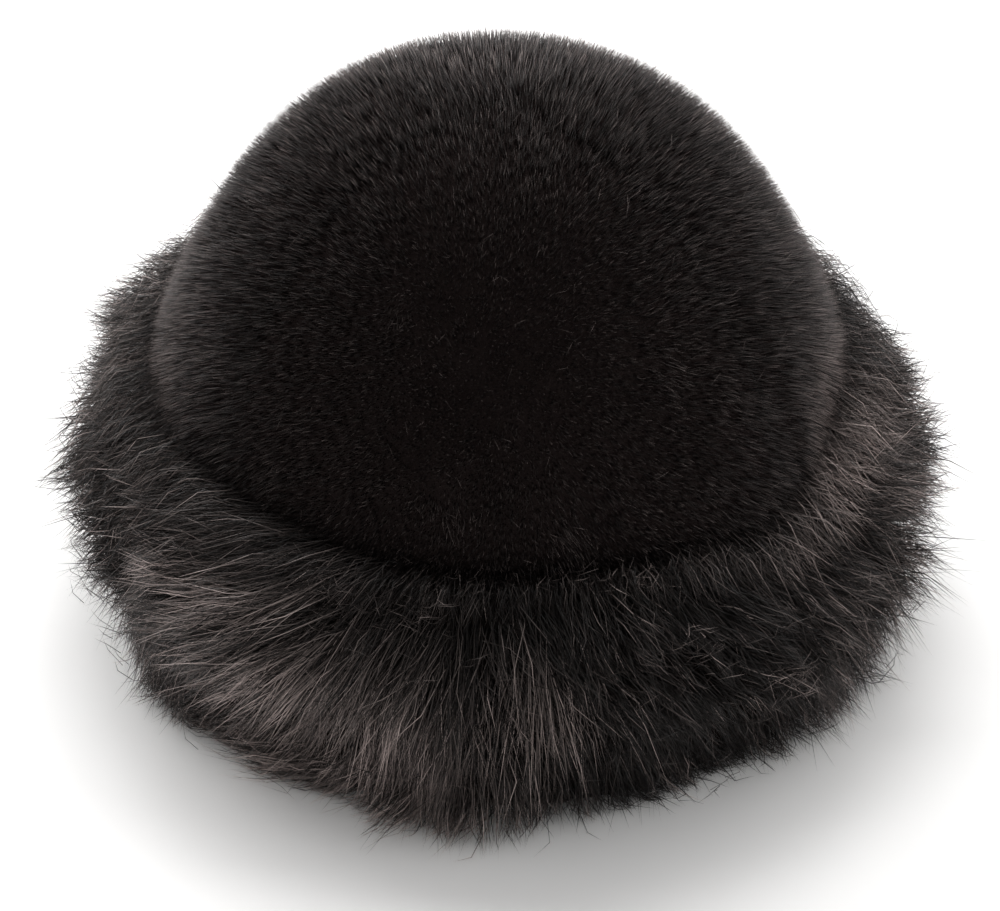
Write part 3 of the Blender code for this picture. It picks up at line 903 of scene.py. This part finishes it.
loose_radii = LOOSE_RADIUS * random.uniform(0.7, 1.2, len(loose_paths))[:, None] * np.array(LOOSE_TAPER)
loose_mesh = strands_mesh("loose_hairs", loose_paths, loose_radii, loose_tones_and_glints, long_fibre)
place_piece("loose_hairs", loose_mesh, "brim_hair", "brim_fur")

# Photo studio: a plain white table in a white room, and four square soft lights of one metre.
# Three stand behind the hat, above and to both sides, and one shines from its right.

FLOOR_SIDE = 8.0
ROOM_LIGHT = 0.60
SOFTBOX_SIZE = 1.0

# Matt white paint: smooth, without gloss, so that the table shows only the hat's soft shadow.
floor_paint, floor_shader = start_material("matt_white_paint")
floor_shader.inputs["Base Color"].default_value = linear("#fbfaf9")
floor_shader.inputs["Roughness"].default_value = 0.9
table = bmesh.new()
bmesh.ops.create_grid(table, x_segments=1, y_segments=1, size=FLOOR_SIDE / 2)
floor = bpy.data.objects.new("floor", mesh_of("floor", table, floor_paint))
bpy.context.scene.collection.objects.link(floor)

studio = bpy.data.worlds.new("studio")
bpy.context.scene.world = studio
studio.use_nodes = True
studio.node_tree.nodes["Background"].inputs["Color"].default_value = linear("#ffffff")
studio.node_tree.nodes["Background"].inputs["Strength"].default_value = ROOM_LIGHT


def add_softbox(name, place, power):
    """A square soft light that faces the hat."""
    lamp = bpy.data.lights.new(name, "AREA")
    lamp.shape = "SQUARE"
    lamp.size = SOFTBOX_SIZE
    lamp.energy = power
    box = bpy.data.objects.new(name, lamp)
    box.location = place
    box.rotation_euler = (Vector(HAT_MIDDLE) - Vector(place)).to_track_quat("-Z", "Y").to_euler()
    bpy.context.scene.collection.objects.link(box)


HAT_MIDDLE = (0.0, 0.0, 0.08)
add_softbox("light_above_behind", (0.0, 0.8, 1.3), 15.0)
add_softbox("light_left_behind", (-0.9, 1.0, 0.6), 20.0)
add_softbox("light_right_behind", (0.9, 1.0, 0.6), 8.0)
add_softbox("light_right_side", (1.5, -0.1, 0.3), 9.0)

# Camera: 1.2 m away and 32 degrees above the hat's middle, as in the photo.
# Its long lens fills the frame's width with the hat.

CAMERA_DISTANCE = 1.2
CAMERA_RISE = math.radians(32.0)
CAMERA_SIDE = 0.00085  # to the right, which centres the hat in the frame
CAMERA_TIP = math.radians(2.21)  # further down, which lifts the hat in the frame
LENS = 152.5
AIM_HEIGHT = 0.1

view = bpy.data.cameras.new("camera")
view.sensor_width = 36.0
view.lens = LENS
camera = bpy.data.objects.new("camera", view)
camera.location = (
    CAMERA_SIDE,
    -CAMERA_DISTANCE * math.cos(CAMERA_RISE),
    AIM_HEIGHT + CAMERA_DISTANCE * math.sin(CAMERA_RISE),
)
camera.rotation_euler = (math.pi / 2 - CAMERA_RISE - CAMERA_TIP, 0.0, 0.0)
bpy.context.scene.collection.objects.link(camera)
bpy.context.scene.camera = camera
bpy.context.scene.view_settings.view_transform = "Standard"
